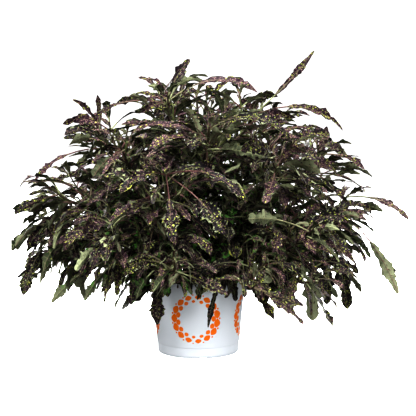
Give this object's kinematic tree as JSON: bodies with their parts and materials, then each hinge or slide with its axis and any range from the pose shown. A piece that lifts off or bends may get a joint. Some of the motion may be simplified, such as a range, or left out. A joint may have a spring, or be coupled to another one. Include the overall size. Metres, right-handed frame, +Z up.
{
  "type": "potted coleus",
  "caption": "Rounded, dense coleus of narrow, waved, dark flecked leaves on branching stems, in a tapered round plastic pot filled with compost.",
  "frame": {"origin": "middle of the pot's underside, on the surface that the pot stands on", "axes": "+Z up along the pot's axis; -Y faces the viewer of the picture; +X to the viewer's right"},
  "size_m": [0.7281, 0.7109, 0.5509],
  "materials": {
    "pot_plastic": "satin white with an orange print",
    "potting_compost": "crumbly, matt, dark brown",
    "coleus_foliage": "matt, purple-black with yellow-green flecks, pale green beneath"
  },
  "bodies": {
    "root": {"pot": "pot_plastic", "potting_soil": "potting_compost", "leafy_shoot_01": "coleus_foliage", "leafy_shoot_02": "coleus_foliage", "leafy_shoot_03": "coleus_foliage", "leafy_shoot_04": "coleus_foliage", "leafy_shoot_05": "coleus_foliage", "leafy_shoot_06": "coleus_foliage", "leafy_shoot_07": "coleus_foliage", "leafy_shoot_08": "coleus_foliage", "leafy_shoot_09": "coleus_foliage", "leafy_shoot_10": "coleus_foliage", "leafy_shoot_11": "coleus_foliage", "leafy_shoot_12": "coleus_foliage", "leafy_shoot_13": "coleus_foliage"}
  },
  "joints": []
}
